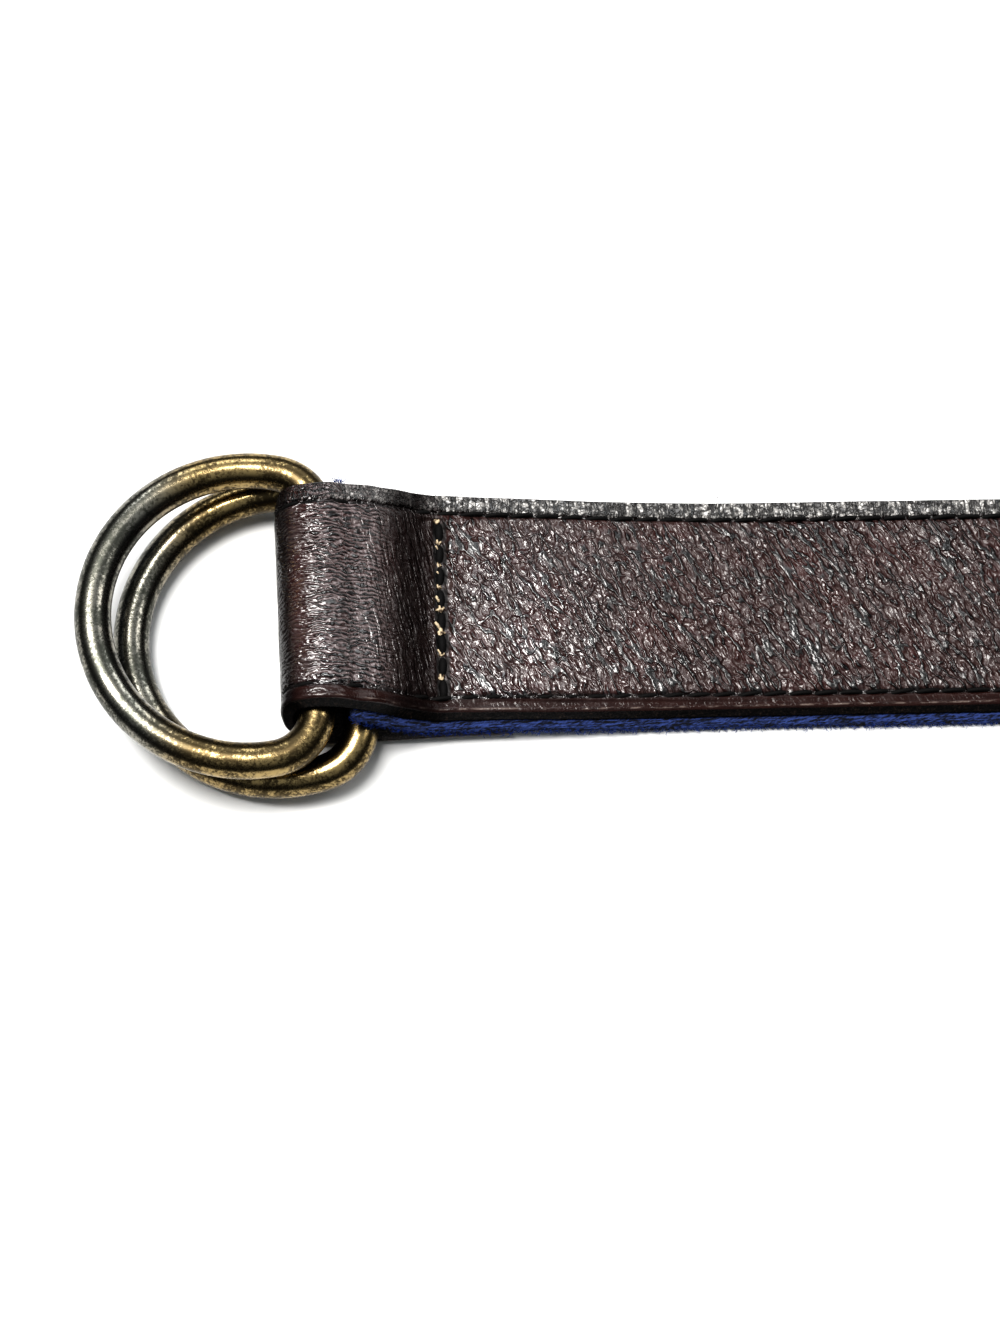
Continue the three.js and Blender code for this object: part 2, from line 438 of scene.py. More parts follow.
def leather_section(along, far_half, near_half):
    """Across, off and side of each point round one section of the leather."""
    far_reach = far_half - far_profile[0][0] * leather_thickness
    near_reach = near_half - near_profile[0][0] * leather_thickness
    spread = np.sin(np.linspace(-1, 1, grain_columns) * math.pi / 2 * edge_crowding)
    spread = spread / math.sin(math.pi / 2 * edge_crowding)
    across_top = (far_reach - near_reach) / 2 + (far_reach + near_reach) / 2 * spread
    far_inset, far_depth = edge_run(far_profile)
    near_inset, near_depth = edge_run(near_profile)
    across_bottom = np.linspace(far_half - flesh_inset, flesh_inset - near_half, flesh_columns)
    across = np.concatenate([across_top, far_half - far_inset, across_bottom,
                             (near_inset - near_half)[::-1]])
    level = leather_thickness / 2
    relief_top = grain_relief(along, across_top, far_half, near_half)
    far = level - far_depth + relief_top[-1] * (1 - far_depth / leather_thickness)
    near = level - near_depth + relief_top[0] * (1 - near_depth / leather_thickness)
    bottom = np.full(flesh_columns, -level)
    off = np.concatenate([level + relief_top, far, bottom, near[::-1]])
    far_side = np.where(far_depth > 0.06 * leather_thickness, 0.5, 1.0)
    near_side = np.where(near_depth > 0.12 * leather_thickness, 0.5, 1.0)
    side = np.concatenate([np.ones(grain_columns), far_side, np.zeros(flesh_columns), near_side[::-1]])
    return across, off, side


def make_leather():
    """The whole strip of leather as one closed mesh."""
    stations = np.arange(round((tip_run - returned_run) / leather_step) + 1)
    alongs = returned_run + stations * (tip_run - returned_run) / stations[-1]
    points, places, insets = [], [], []
    for along in alongs:
        half = float(half_width(middle_at(along)[0], 0))
        far_half, near_half = half + float(far_widening(along)), half + float(near_widening(along))
        across, off, side = leather_section(along, far_half, near_half)
        points.append(strap_point(along, across, off))
        places.append(np.stack([np.full_like(across, along), across, side], axis=-1))
        insets.append(np.stack([far_half - across, near_half + across, np.zeros_like(across)], axis=-1))
    around = len(points[0])
    obj = make_object("leather", np.concatenate(points), tube_faces(len(points), around))
    store_points(obj, "strap_place", np.concatenate(places))
    store_points(obj, "strap_inset", np.concatenate(insets))
    return obj


leather = make_leather()
print("leather faces:", len(leather.data.polygons))

# %% [markdown]
# Small helpers keep the materials readable. Each one adds a texture or a sum to a node tree and
# hands back the socket that carries its result.

# %% Material helpers


def kept(tree, name):
    """What a mesh keeps at each of its points under a name."""
    return add(tree, "ShaderNodeAttribute", attribute_name=name).outputs["Vector"]


def parts_of(tree, vector):
    """The three numbers of a vector."""
    return add(tree, "ShaderNodeSeparateXYZ", {0: vector}).outputs


def noise(tree, vector, scale, detail=2.0, roughness=0.5):
    """A cloudy pattern between 0 and 1."""
    inputs = {"Vector": vector, "Scale": scale, "Detail": detail, "Roughness": roughness}
    return add(tree, "ShaderNodeTexNoise", inputs).outputs["Fac"]


def cells(tree, vector, scale, feature="DISTANCE_TO_EDGE"):
    """Cells like pebbles: how far each point is from its cell's edge."""
    inputs = {"Vector": vector, "Scale": scale}
    return add(tree, "ShaderNodeTexVoronoi", inputs, feature=feature).outputs["Distance"]


def ramp(tree, value, low, high, to_low=0.0, to_high=1.0):
    """A soft ramp between two values."""
    inputs = {"Value": value, "From Min": low, "From Max": high, "To Min": to_low, "To Max": to_high}
    return add(tree, "ShaderNodeMapRange", inputs, interpolation_type="SMOOTHSTEP").outputs["Result"]


def calc(tree, operation, first, second=0.0):
    """One sum of two values."""
    return add(tree, "ShaderNodeMath", {0: first, 1: second}, operation=operation).outputs[0]


def times(tree, first, second):
    """One value times another."""
    return calc(tree, "MULTIPLY", first, second)


def plus(tree, first, second):
    """One value added to another."""
    return calc(tree, "ADD", first, second)


def away_from(tree, value, place):
    """How far a value is from a place, on either side."""
    return calc(tree, "ABSOLUTE", calc(tree, "SUBTRACT", value, place))


def mixed(tree, share, first, second):
    """Two values mixed by a share."""
    return add(tree, "ShaderNodeMix", {0: share, 2: first, 3: second}, data_type="FLOAT").outputs[0]


def blend(tree, share, first, second):
    """Two colours mixed by a share."""
    return add(tree, "ShaderNodeMix", {0: share, 6: first, 7: second}, data_type="RGBA").outputs[2]


def turned(tree, vector, degrees, stretch):
    """Coordinates turned about Z and then stretched, for patterns that run one way."""
    inputs = {"Vector": vector, "Rotation": (0, 0, math.radians(degrees)), "Scale": stretch}
    return add(tree, "ShaderNodeMapping", inputs, vector_type="TEXTURE").outputs["Vector"]


def raised(tree, height, depth, normal=None):
    """A bump of a depth in metres, over another one if given."""
    inputs = {"Height": height, "Distance": depth, "Strength": 1.0}
    if normal is not None:
        inputs["Normal"] = normal
    return add(tree, "ShaderNodeBump", inputs).outputs["Normal"]


def lines_of(tree, value, width):
    """0 on thin lines where a cloudy pattern crosses its middle, 1 elsewhere."""
    return ramp(tree, away_from(tree, value, 0.5), 0.0, width)


print("helpers ready")

# %% [markdown]
# Full grain leather is a skin of tiny pebbles, pulled into long creases that run one way. Its
# colour is nearly black brown with redder clouds, and what the eye sees most is the gloss on
# each pebble's top. Colour alone would look printed, so three sizes of relief are laid over each
# other: creases, pebbles and a fine tooth. The loop was pulled tight round the rings, so
# there the pebbles are almost gone and fine ripples run along it.

# %% Leather finish
# Painted shade: near black for the slots and ripple valleys, dark brown for the grooves and the slope before
# the row.
shade_black, shade_brown = (0.004, 0.003, 0.003, 1), (0.006, 0.004, 0.004, 1)
# Where painted shade and duller gloss cover the fold's outer turn, in mm along the leather.
fold_from, fold_to = -22.4, -24.6


def wandering(tree, place, amount):
    """The strap's coordinates pushed about a little, so that no pattern runs straight."""
    drift = add(tree, "ShaderNodeTexNoise", {"Vector": place, "Scale": 0.55, "Detail": 2.0})
    push = add(tree, "ShaderNodeVectorMath", {0: drift.outputs["Color"], 1: (amount, amount, 0.0)},
               operation="MULTIPLY").outputs[0]
    return add(tree, "ShaderNodeVectorMath", {0: place, 1: push}, operation="ADD").outputs[0]


def ridges(tree, vector, scale):
    """Rounded ridges between 0 and 1, sharpest at their tops."""
    return ramp(tree, away_from(tree, noise(tree, vector, scale, 2.0, 0.55), 0.5), 0.13, 0.0)


def plain_grain(tree, bent):
    """Pebbles and flecks with long creases across them, all running down to the right."""
    pebbles = cells(tree, turned(tree, bent, -62, (1.35, 0.85, 1.0)), 1.05, "F1")
    flecks = noise(tree, turned(tree, bent, -64, (2.1, 0.8, 1.0)), 1.15, 1.2)
    creases = lines_of(tree, noise(tree, turned(tree, bent, -60, (7.0, 1.25, 1.0)), 0.55, 1.5), 0.05)
    webs = lines_of(tree, noise(tree, turned(tree, bent, -35, (2.2, 1.5, 1.0)), 0.42, 1.5), 0.03)
    soft = calc(tree, "SUBTRACT", times(tree, flecks, 1.45), times(tree, pebbles, 0.5))
    deep = times(tree, ramp(tree, creases, 0.0, 1.0, 0.3, 1.0), ramp(tree, webs, 0.0, 1.0, 0.5, 1.0))
    return times(tree, soft, deep)


def loop_grain(tree, bent, along):
    """Fine ripples over the bars, and long steep creases where the loop runs down to the row, with the
    ripple pattern that places painted highlight and shade.
    """
    wave = {"Vector": bent, "Scale": 0.5, "Distortion": 7.0, "Detail": 2.0, "Detail Scale": 0.9,
            "Detail Roughness": 0.6}
    arched = add(tree, "ShaderNodeTexWave", wave, bands_direction="Y").outputs["Fac"]
    cloudy = noise(tree, turned(tree, bent, -6, (1.2, 0.5, 1.0)), 1.0, 1.0)
    ripples = plus(tree, times(tree, arched, 0.2), times(tree, cloudy, 0.75))
    steep = ridges(tree, turned(tree, bent, -73, (7.0, 1.0, 1.0)), 0.75)
    fine = noise(tree, turned(tree, bent, -58, (1.6, 0.6, 1.0)), 1.15, 1.0)
    edge = plus(tree, along, times(tree, noise(tree, bent, 0.16), 9.0))
    right = plus(tree, times(tree, steep, 0.42), times(tree, fine, 0.75))
    height = mixed(tree, ramp(tree, edge, -15.0, 0.0), ripples, right)
    return height, plus(tree, times(tree, arched, 0.3), cloudy)


def strip_masks(tree):
    """Shares that are 1 in the far strip, in the near strip, on the ridge line and at the seams."""
    far, near, _ = parts_of(tree, kept(tree, "strap_inset"))
    far_strip = ramp(tree, far, 2.9, 2.5)
    near_strip = ramp(tree, near, 2.95, 2.6)
    ridge = ramp(tree, away_from(tree, near, 1.22), 0.2, 0.05)
    beside = calc(tree, "MINIMUM", away_from(tree, far, stitch_inset), away_from(tree, near, stitch_inset))
    return far_strip, near_strip, ridge, ramp(tree, beside, 0.5, 0.15)


def leather_material():
    """Dark brown grain leather, its dyed cut edge and its suede flesh side, with painted light and shade in
    its colour.
    """
    material, tree, shader = new_material("brown grain leather")
    place = kept(tree, "strap_place")
    along, across, side = parts_of(tree, place)
    far_strip, near_strip, ridge, seam = strip_masks(tree)
    bent = wandering(tree, place, 1.1)
    loop, ripple_shading = loop_grain(tree, bent, along)
    past_row = ramp(tree, along, -0.6, 0.8)
    height = mixed(tree, past_row, loop, plain_grain(tree, bent))
    cracks = lines_of(tree, noise(tree, turned(tree, bent, 88, (9.0, 0.8, 1.0)), 0.8), 0.06)
    crackle = ramp(tree, cells(tree, bent, 1.7), 0.0, 0.16)
    smooth = plus(tree, times(tree, height, 0.12), 0.4)
    height = mixed(tree, far_strip, height, times(tree, times(tree, cracks, crackle), 0.5))
    height = mixed(tree, near_strip, height, smooth)

    clouds = ramp(tree, noise(tree, place, 0.1, 3.0, 0.6), 0.42, 0.66)
    brown = blend(tree, clouds, (0.034, 0.0175, 0.0165, 1), (0.052, 0.0195, 0.0175, 1))
    over_bars = times(tree, ramp(tree, along, -22.5, -19.5), ramp(tree, along, -7.5, -12.5))
    # Painted sheen: the far strip's silver gloss as light grey patches with dark cracks, full past the row,
    # weaker on the loop.
    sheen_patches = ramp(tree, noise(tree, place, 0.95), 0.46, 0.62)
    far_sheen = blend(tree, sheen_patches, (0.08, 0.075, 0.073, 1), (0.52, 0.5, 0.48, 1))
    far_sheen = blend(tree, cracks, (0.005, 0.004, 0.004, 1), far_sheen)
    lit = calc(tree, "MAXIMUM", past_row, ramp(tree, along, -20.0, -15.0, 0.0, 0.6))
    streaks = noise(tree, turned(tree, place, 0, (5.0, 0.5, 1.0)), 1.0, 3.0)
    reddish = blend(tree, streaks, (0.008, 0.004, 0.004, 1), (0.04, 0.016, 0.013, 1))
    # Patches that break the painted highlight on the near ridge.
    patchiness = ramp(tree, noise(tree, turned(tree, place, 0, (2.0, 0.5, 1.0)), 0.9, 3.0), 0.45, 0.62)
    # Painted shade: the leather in the cross row's slots goes near black, less between the stitches.
    slot = ramp(tree, calc(tree, "ABSOLUTE", along), 1.25, 0.8)
    slot = times(tree, slot, ramp(tree, calc(tree, "ABSOLUTE", across), 14.4, 13.8))
    beat = calc(tree, "COSINE", times(tree, across, 2 * math.pi / cross_pitch))
    slot = times(tree, slot, ramp(tree, beat, 0.7, 0.95, 1.0, 0.35))
    # Painted shade where the loop slopes down to the cross row.
    before_row = ramp(tree, away_from(tree, along, -5.0), 7.5, 1.5, 0.0, 0.84)
    layers = [
        # Painted shade and light by the grain's height: pebble tops lighter, creases near black.
        (ramp(tree, height, 0.35, 0.75), (0.06, 0.037, 0.034, 1)),
        (ramp(tree, height, 0.32, 0.1), (0.003, 0.002, 0.002, 1)),
        # Painted highlight on the ripple tops over the bars and painted shade in their valleys.
        (times(tree, over_bars, ramp(tree, ripple_shading, 0.66, 0.84)), (0.15, 0.115, 0.115, 1)),
        (times(tree, over_bars, ramp(tree, ripple_shading, 0.66, 0.52)), shade_black),
        # Painted sheen on the far strip.
        (times(tree, far_strip, lit), far_sheen),
        (near_strip, reddish),
        # Painted highlight along the near ridge line.
        (times(tree, ridge, patchiness), (0.13, 0.1, 0.088, 1)),
        # Painted shade along the sunk stitch grooves.
        (times(tree, seam, 0.8), shade_brown),
        # Painted shade in the cross row's slots.
        (times(tree, slot, 0.9), shade_black),
        # Painted shade on the loop's slope before the row.
        (before_row, shade_brown),
        # Painted shade on the fold's outer turn.
        (ramp(tree, along, fold_from, fold_to, 0.0, 0.93), (0.006, 0.004, 0.0045, 1)),
    ]
    for share, tint in layers:
        brown = blend(tree, share, brown, tint)
    grain_side = ramp(tree, side, 0.6, 0.95)
    speckled = ramp(tree, noise(tree, place, 3.2, 4.0, 0.7), 0.5, 0.72)
    cut = blend(tree, speckled, (0.0025, 0.002, 0.002, 1), (0.035, 0.023, 0.018, 1))
    # Painted light: the shaded cut edges and flesh side of the returned leather are painted light grey
    # brown.
    lit_returned_edge = blend(tree, speckled, (0.12, 0.11, 0.105, 1), (0.34, 0.31, 0.3, 1))
    cut = blend(tree, ramp(tree, along, -33.0, -46.0), cut, lit_returned_edge)

    gloss = ramp(tree, noise(tree, place, 0.35, 3.0), 0.3, 0.7, 0.2, 0.34)
    rough = mixed(tree, grain_side, 0.85, plus(tree, gloss, times(tree, slot, 0.5)))
    fibres = noise(tree, turned(tree, place, 0, (2.5, 1.0, 0.25)), 2.2, 3.0, 0.6)
    coarse = raised(tree, mixed(tree, grain_side, fibres, height), 0.65 * MM)
    glossy = times(tree, ramp(tree, along, 45.0, 4.0), ramp(tree, across, 16.0, -12.0, 0.45, 1.0))
    glossy = ramp(tree, glossy, 0.0, 1.0, 0.5, 1.05)
    glossy = times(tree, glossy, ramp(tree, near_strip, 0.0, 1.0, 1.0, 0.3))
    dull = calc(tree, "MAXIMUM", before_row, ramp(tree, along, fold_from, fold_to, 0.0, 0.85))
    fill(tree, shader, {
        "Base Color": blend(tree, grain_side, cut, brown),
        "Roughness": rough,
        "Normal": raised(tree, noise(tree, place, 3.0, 1.0), 0.04 * MM, coarse),
        "Specular IOR Level": times(tree, glossy, calc(tree, "SUBTRACT", 1.0, dull)),
        "IOR": 1.6,
    })
    return material


def dress(obj, material, body, slot, *nodes):
    """Gives a piece its finish and says what it rides on and stands for."""
    obj.data.materials.clear()
    obj.data.materials.append(material)
    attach(obj, body)
    if nodes:
        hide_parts(*nodes)


dress(leather, leather_material(), "belt", "leather", "leather_strap")
print("leather slots:", [slot.name for slot in leather.material_slots])

# %% [markdown]
# The webbing is a flat woven tape behind the leather. It shows as a fuzzy blue band below the near
# edge, so its selvedge gets real bumps where the weft turns round, and the weave of its flat faces
# is left to the finish.

# %% Webbing
webbing_step, selvedge_pitch, selvedge_bump = 0.3, 1.15, 0.13
webbing_edge_radius, warp_pitch = 0.5, 0.62
far_tuck, near_fray = 0.5, 0.7
webbing_columns, webbing_rim_points = 40, 15


def webbing_section(along, half):
    """Across, off and edge share of each point round one section of the webbing."""
    level = webbing_thickness / 2
    bump = selvedge_bump * math.sin(2 * math.pi * along / selvedge_pitch)
    turn = np.linspace(0, math.pi, webbing_rim_points)[1:-1]
    far_reach = half - far_tuck - webbing_edge_radius
    near_reach = half + near_fray - webbing_edge_radius
    rim = (webbing_edge_radius + bump) * np.sin(turn)
    rim_off = level * np.cos(turn)
    flat = np.linspace(-near_reach, far_reach, webbing_columns)
    across = np.concatenate([flat, far_reach + rim, flat[::-1], -(near_reach + rim)[::-1]])
    top, plain = np.full(webbing_columns, level), np.zeros(webbing_columns)
    off = np.concatenate([top, rim_off, -top, rim_off[::-1]])
    edge = np.concatenate([plain, np.sin(turn), plain, np.sin(turn)])
    return across, off - layer_step, edge


def webbing_start():
    """How far along the leather the webbing starts, just past the upper bar."""
    alongs = np.linspace(-40, 0, 801)
    x, z, nx, _ = middle_at(alongs)
    shown = (x - nx * layer_step > upper_bar.x + wire_radius + webbing_standoff) & (z > leather_thickness)
    return float(alongs[np.argmax(shown)])


def make_webbing():
    """The tape as one closed mesh."""
    start = webbing_start()
    alongs = np.linspace(start, tip_run, round((tip_run - start) / webbing_step) + 1)
    points, places = [], []
    for along in alongs:
        half = half_width(middle_at(along)[0], webbing_overhang)
        across, off, edge = webbing_section(along, float(half))
        points.append(strap_point(along, across, off))
        places.append(np.stack([np.full_like(across, along), across, edge], axis=-1))
    around = len(points[0])
    obj = make_object("webbing", np.concatenate(points), tube_faces(len(points), around))
    store_points(obj, "strap_place", np.concatenate(places))
    return obj


def webbing_material():
    """Royal blue tape with a ribbed weave, near black where its yarn lies low and lighter on its tops."""
    material, tree, shader = new_material("blue webbing")
    place = kept(tree, "strap_place")
    along, across, _ = parts_of(tree, place)
    rib = calc(tree, "SINE", times(tree, along, 2 * math.pi / selvedge_pitch))
    warp = calc(tree, "SINE", times(tree, across, 2 * math.pi / warp_pitch))
    yarn = noise(tree, turned(tree, place, 24, (1.6, 0.4, 0.6)), 1.6, 4.0, 0.7)
    streaks = noise(tree, turned(tree, place, 4, (3.2, 0.34, 0.4)), 1.1, 2.0, 0.55)
    patchiness = plus(tree, yarn, streaks)
    height = plus(tree, times(tree, times(tree, rib, warp), 0.3), patchiness)
    tops = ramp(tree, patchiness, 0.86, 1.16)
    fill(tree, shader, {
        "Base Color": blend(tree, tops, (0.0006, 0.001, 0.005, 1), (0.036, 0.063, 0.20, 1)),
        "Normal": raised(tree, height, 0.2 * MM),
        "Roughness": 0.95,
    })
    return material


webbing = make_webbing()
dress(webbing, webbing_material(), "belt", "webbing", "webbing_backing")
print("webbing faces:", len(webbing.data.polygons))

# %% [markdown]
# The rings are brass wire bent into a D: a straight bar inside the loop, two tight corners and a
# wide arc outside. The centre line is exact arithmetic, and Geometry Nodes sweep a round wire
# along it, so the wire's thickness stays a named input of the tree. A torus would miss the bar
# and the corners.

# %% Geometry Nodes helpers


def new_tree(name, inputs):
    """A node tree with a geometry going in and out, and named inputs for its sizes."""
    tree = bpy.data.node_groups.new(name, "GeometryNodeTree")
    tree.interface.new_socket("Geometry", in_out="INPUT", socket_type="NodeSocketGeometry")
    tree.interface.new_socket("Geometry", in_out="OUTPUT", socket_type="NodeSocketGeometry")
    for label, kind in inputs.items():
        tree.interface.new_socket(label, in_out="INPUT", socket_type=kind)
    source = tree.nodes.new("NodeGroupInput")
    return tree, source.outputs


def finish_tree(tree, geometry, material):
    """Ends a tree with real geometry that carries its material."""
    real = add(tree, "GeometryNodeRealizeInstances", {0: geometry}).outputs[0]
    done = add(tree, "GeometryNodeSetMaterial", {"Geometry": real, "Material": material}).outputs[0]
    add(tree, "NodeGroupOutput", {0: done})


def grow(guide, tree, sizes, name):
    """Runs a tree on a guide and turns the result into a plain mesh object."""
    modifier = guide.modifiers.new("grow", "NODES")
    modifier.node_group = tree
    for item in tree.interface.items_tree:
        if item.in_out == "INPUT" and item.name in sizes:
            modifier[item.identifier] = sizes[item.name]
    depsgraph = bpy.context.evaluated_depsgraph_get()
    mesh = bpy.data.meshes.new_from_object(guide.evaluated_get(depsgraph), depsgraph=depsgraph)
    bpy.data.objects.remove(guide)
    mesh.name = name
    return put(name, mesh)


def guide_line(points, closed=False, ups=None):
    """A line of vertices for a tree to follow, with the direction that is up at each."""
    mesh = bpy.data.meshes.new("guide")
    count = len(points)
    edges = [(i, (i + 1) % count) for i in range(count if closed else count - 1)]
    mesh.from_pydata([tuple(point) for point in np.asarray(points) * MM], edges, [])
    guide = put("guide", mesh)
    if ups is not None:
        store_points(guide, "up", ups)
    return guide


def as_vector(tree, x=0.0, y=0.0, z=0.0):
    """Three values as one vector."""
    return add(tree, "ShaderNodeCombineXYZ", {"X": x, "Y": y, "Z": z}).outputs[0]


def swept(tree, curve, radius, sides, caps=True):
    """A round rod along a curve."""
    circle = add(tree, "GeometryNodeCurvePrimitiveCircle",
                 {"Resolution": sides, "Radius": radius}).outputs["Curve"]
    return add(tree, "GeometryNodeCurveToMesh",
               {"Curve": curve, "Profile Curve": circle, "Fill Caps": caps}).outputs[0]


def bow(tree, steps, start, middle, end):
    """A short bent line for a thread or a hair to follow."""
    return add(tree, "GeometryNodeCurveQuadraticBezier",
               {"Resolution": steps, "Start": start, "Middle": middle, "End": end}).outputs[0]


def spaced(tree, guide, pitch):
    """A guide line as points a pitch apart."""
    path = add(tree, "GeometryNodeMeshToCurve", {"Mesh": guide}).outputs[0]
    return add(tree, "GeometryNodeResampleCurve", {"Curve": path, "Length": pitch}, mode="LENGTH").outputs[0]


def any_number(tree, low, high, seed):
    """A number for each copy, drawn from a seed."""
    return add(tree, "FunctionNodeRandomValue", {2: low, 3: high, "Seed": seed},
               data_type="FLOAT").outputs[1]


def any_vector(tree, low, high, seed):
    """A vector for each copy, drawn from a seed."""
    return add(tree, "FunctionNodeRandomValue", {0: low, 1: high, "Seed": seed},
               data_type="FLOAT_VECTOR").outputs[0]


def set_copies(tree, points, copy, turn, size, material):
    """Sets one copy at each point and ends the tree."""
    copies = add(tree, "GeometryNodeInstanceOnPoints",
                 {"Points": points, "Instance": copy, "Rotation": turn, "Scale": size}).outputs[0]
    finish_tree(tree, copies, material)


def press_down(obj, lowest):
    """Lays what would reach below the table on it, at a lowest height in mm."""
    for vertex in obj.data.vertices:
        vertex.co.z = max(vertex.co.z, lowest * MM)


FLOAT, INT, MATERIAL = "NodeSocketFloat", "NodeSocketInt", "NodeSocketMaterial"
print("tree helpers ready")

# %% Ring wire
ring_eye_over_strap, ring_bar_offset, ring_corner_radius = 6.4, 9.7, 7.0
ring_arc_radius = (strap_width + ring_eye_over_strap) / 2 + wire_radius
corner_points, arc_points, bar_points, wire_sides = 28, 200, 24, 40


def ring_centreline():
    """The D-shaped centre line round its bar, which runs along Y through the origin."""
    inner = ring_arc_radius - ring_corner_radius
    away = ring_bar_offset - ring_corner_radius
    bar_half = math.sqrt(inner ** 2 - away ** 2)
    turn = math.atan2(bar_half, away)
    corner = np.linspace(0, turn, corner_points)[1:]
    arc = np.linspace(turn, 2 * math.pi - turn, arc_points)[1:-1]
    bar = np.linspace(-bar_half, bar_half, bar_points)
    high = [(ring_corner_radius * (math.cos(a) - 1), bar_half + ring_corner_radius * math.sin(a))
            for a in corner]
    wide = [(ring_arc_radius * math.cos(a) - ring_bar_offset, ring_arc_radius * math.sin(a)) for a in arc]
    low = [(x, -y) for x, y in reversed(high)]
    flat = [(0.0, y) for y in bar] + high + wide + low
    return np.array([(x, y, 0.0) for x, y in flat])


def wire_tree():
    """Sweeps a round wire along a closed line."""
    tree, inputs = new_tree("ring wire", {"Wire radius": FLOAT, "Sides": INT, "Material": MATERIAL})
    path = add(tree, "GeometryNodeMeshToCurve", {"Mesh": inputs["Geometry"]}).outputs[0]
    wire = swept(tree, path, inputs["Wire radius"], inputs["Sides"], False)
    finish_tree(tree, wire, inputs["Material"])
    return tree


def ring_turn(node, bar):
    """How a ring lies: its yaw from the joint's axis and its lift from the height of the CAD ring."""
    axis = Vector(joints[node + "_swing"]["axis"])
    yaw = math.atan2(-axis.x, axis.y)
    low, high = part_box(node)
    middle = (low.z + high.z) / 2 / MM
    reach = ring_bar_offset + ring_arc_radius
    lift = math.asin(2 * (middle - bar.z) / reach)
    return Matrix.Rotation(yaw, 3, "Z") @ Matrix.Rotation(lift, 3, "Y")


def make_ring(node, tree, material):
    """One ring in its place, whose object coordinates the finish reads."""
    bar = Vector(joints[node + "_swing"]["pos_m"]) / MM
    turn = np.array(ring_turn(node, bar))
    points = ring_centreline() @ turn.T + np.array(bar)
    sizes = {"Wire radius": wire_radius * MM, "Sides": wire_sides, "Material": material}
    ring = grow(guide_line(points, closed=True), tree, sizes, node + "_wire")
    ring.data.shade_smooth()
    return ring


# %% [markdown]
# Antique brass is bright metal under a dark, uneven patina. Handling rubs it off where fingers
# touch, so gold shows in a mottled, speckled way. The finish mixes polished brass with dark
# oxide by two sizes of noise, and the dark parts are also a little rougher.

# %% Brass finish


def brass_material():
    """Antique brass: gold where fingers rub it, grey at the outer end, speckled with dark patina."""
    material, tree, shader = new_material("antique brass")
    place = add(tree, "ShaderNodeTexCoord").outputs["Object"]
    out, _, _ = parts_of(tree, place)
    clouds = noise(tree, place, 200.0, 4.0, 0.65)
    specks = noise(tree, place, 2100.0, 3.0, 0.75)
    both = times(tree, plus(tree, clouds, specks), 0.5)
    patina = ramp(tree, both, 0.43, 0.56)
    gold = blend(tree, clouds, (0.47, 0.345, 0.16, 1), (0.34, 0.265, 0.13, 1))
    outer = plus(tree, ramp(tree, out, -0.034, -0.043, 0.0, 0.75), times(tree, clouds, 0.2))
    metal = blend(tree, outer, gold, (0.27, 0.275, 0.265, 1))
    dark = blend(tree, outer, (0.085, 0.062, 0.03, 1), (0.075, 0.08, 0.072, 1))
    fill(tree, shader, {
        "Base Color": blend(tree, patina, metal, dark),
        "Roughness": ramp(tree, both, 0.4, 0.62, 0.2, 0.36),
        "Normal": raised(tree, both, 0.014 * MM),
        "Metallic": 1.0,
    })
    return material


brass = brass_material()
wire = wire_tree()
for node in ("upper_ring", "lower_ring"):
    ring = make_ring(node, wire, brass)
    dress(ring, brass, node, "ring_brass", node)
    print(ring.name, "faces:", len(ring.data.polygons))

# %% [markdown]
# A lockstitch is a short length of thread that comes out of one hole and dives into the next. Each
# one is a small bent rod, and Geometry Nodes set one copy at every step of a guide line. The
# guide carries the direction that is up, so the copies stay flat on the leather round the
# fold and under the returned part.

# %% Stitches
stitch_pitch, stitch_length, thread_radius = 3.65, 3.1, 0.34
row_gap, pressed_thread = 1.5, -0.1
thread_steps, thread_sides, thread_stray = 8, 8, 0.08


def stitch_tree():
    """Sets bent rods of thread along a guide line."""
    tree, inputs = new_tree("stitches", {"Pitch": FLOAT, "Length": FLOAT, "Thread radius": FLOAT,
                                         "Dive": FLOAT, "Lean": FLOAT, "Least size": FLOAT,
                                         "Material": MATERIAL})
    half = times(tree, inputs["Length"], 0.5)
    dive = times(tree, inputs["Dive"], -1.0)
    rod = bow(tree, thread_steps, as_vector(tree, x=times(tree, half, -1.0), z=dive),
              as_vector(tree, z=inputs["Dive"]), as_vector(tree, x=half, z=dive))
    thread = swept(tree, rod, inputs["Thread radius"], thread_sides)
    ahead = add(tree, "GeometryNodeInputTangent").outputs[0]
    up = add(tree, "GeometryNodeInputNamedAttribute", {"Name": "up"},
             data_type="FLOAT_VECTOR").outputs["Attribute"]
    lie = add(tree, "FunctionNodeAxesToRotation", {0: up, 1: ahead},
              primary_axis="Z", secondary_axis="X").outputs[0]
    yaw = plus(tree, any_number(tree, -thread_stray, thread_stray, 4), inputs["Lean"])
    turn = add(tree, "FunctionNodeRotateRotation", {0: lie, 1: as_vector(tree, z=yaw)},
               rotation_space="LOCAL").outputs[0]
    size = any_number(tree, inputs["Least size"], 1.0, 9)
    points = spaced(tree, inputs["Geometry"], inputs["Pitch"])
    set_copies(tree, points, thread, turn, size, inputs["Material"])
    return tree


def edge_route(start, inset, corner_steps=10):
    """Places along and across for a row down the far edge, round the tip and back."""
    tip = tip_run - inset
    radius = tip_corner_radius - inset
    far = strap_width / 2 - inset
    down = [(along, far) for along in np.arange(start, tip - radius, 1.0)]
    turns = np.linspace(0, math.pi / 2, corner_steps)
    corner = [(tip - radius + radius * math.sin(a), far - radius + radius * math.cos(a)) for a in turns]
    return down + corner + [(along, -across) for along, across in reversed(down + corner)]


